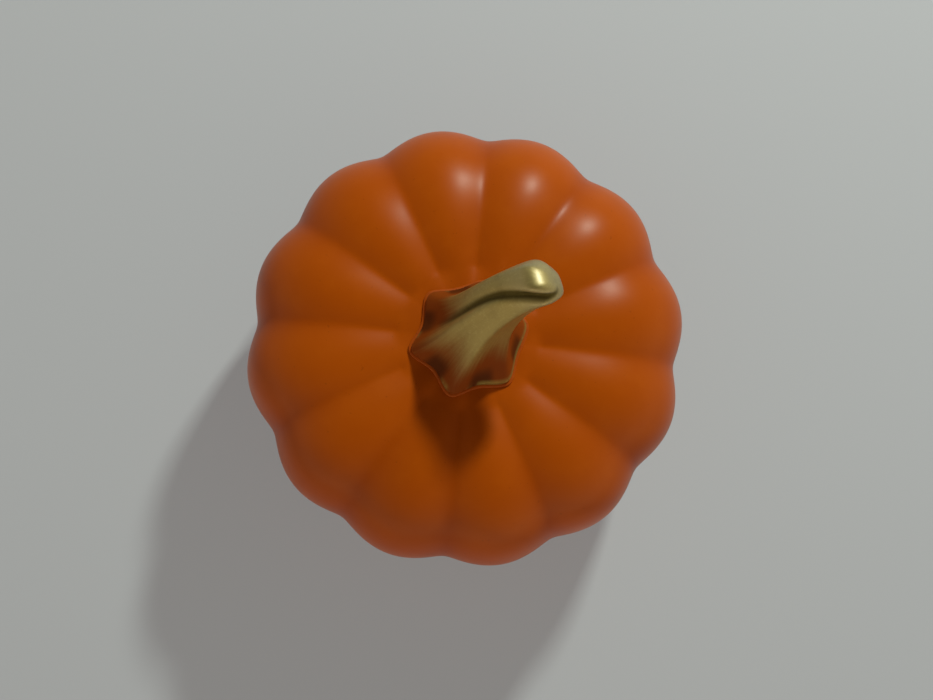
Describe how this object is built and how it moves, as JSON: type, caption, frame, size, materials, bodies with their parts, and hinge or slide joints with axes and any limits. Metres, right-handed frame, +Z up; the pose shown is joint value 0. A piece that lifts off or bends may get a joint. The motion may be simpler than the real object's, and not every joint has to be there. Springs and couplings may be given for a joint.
{
  "type": "ceramic pumpkin figure",
  "caption": "Hollow ceramic pumpkin with rounded lobes, a satin orange glaze and a leaning gold stem, a free-standing autumn table ornament.",
  "frame": {"origin": "on the table under the middle of the body, level with the underside of the felt feet", "axes": "+Z up, +X towards the right of the picture and +Y towards its top; the stem leans towards +X and +Y"},
  "size_m": [0.119, 0.119, 0.105],
  "materials": {
    "orange_glaze": "satin",
    "orange_slip": "satin",
    "gold_finish": "satin",
    "felt": "matte"
  },
  "bodies": {
    "root": {"body": "orange_glaze", "stem_lute": "orange_slip", "stem": "gold_finish", "felt_foot_1": "felt", "felt_foot_2": "felt", "felt_foot_3": "felt", "felt_foot_4": "felt"}
  },
  "joints": []
}
